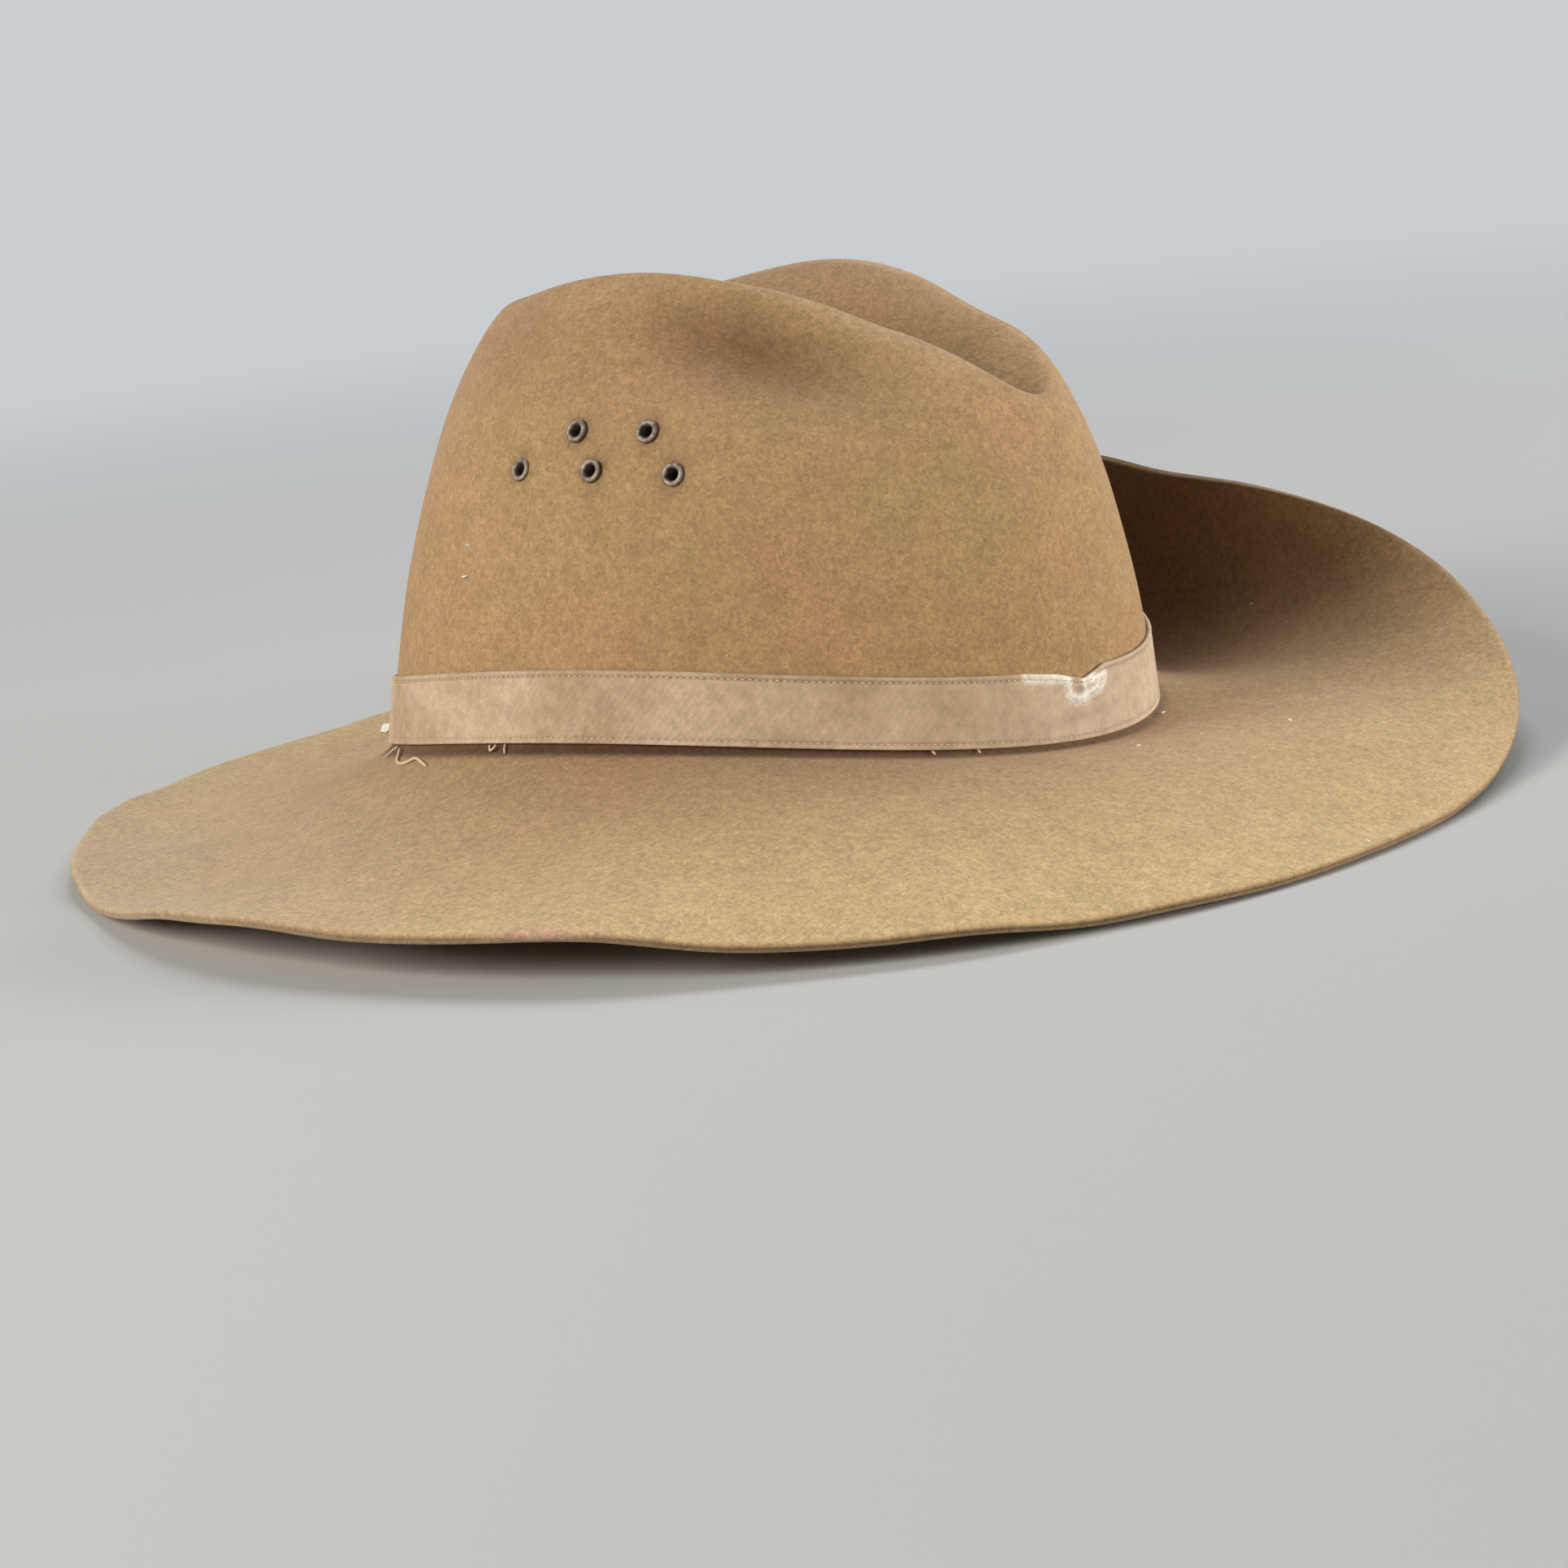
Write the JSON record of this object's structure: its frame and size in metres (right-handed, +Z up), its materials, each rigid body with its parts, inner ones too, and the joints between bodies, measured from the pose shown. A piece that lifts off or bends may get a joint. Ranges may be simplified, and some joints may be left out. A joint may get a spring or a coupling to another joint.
{
  "type": "slouch hat",
  "caption": "Felt slouch hat with a creased crown, cloth band, side vent eyelets and a soft wide brim turned up on the left.",
  "frame": {"origin": "on the surface the hat rests on, under the middle of its box", "axes": "+X to the wearer's front, +Y to the wearer's left, +Z up"},
  "size_m": [0.3704, 0.3144, 0.1351],
  "materials": {
    "fur_felt": "napped fur felt",
    "cotton_tape": "woven cotton tape",
    "eyelet_metal": "dull aged plating"
  },
  "bodies": {
    "root": {"felt_body": "fur_felt", "hat_band": "cotton_tape", "vent_eyelet_1": "eyelet_metal", "vent_eyelet_2": "eyelet_metal", "vent_eyelet_3": "eyelet_metal", "vent_eyelet_4": "eyelet_metal", "vent_eyelet_5": "eyelet_metal"}
  },
  "joints": []
}
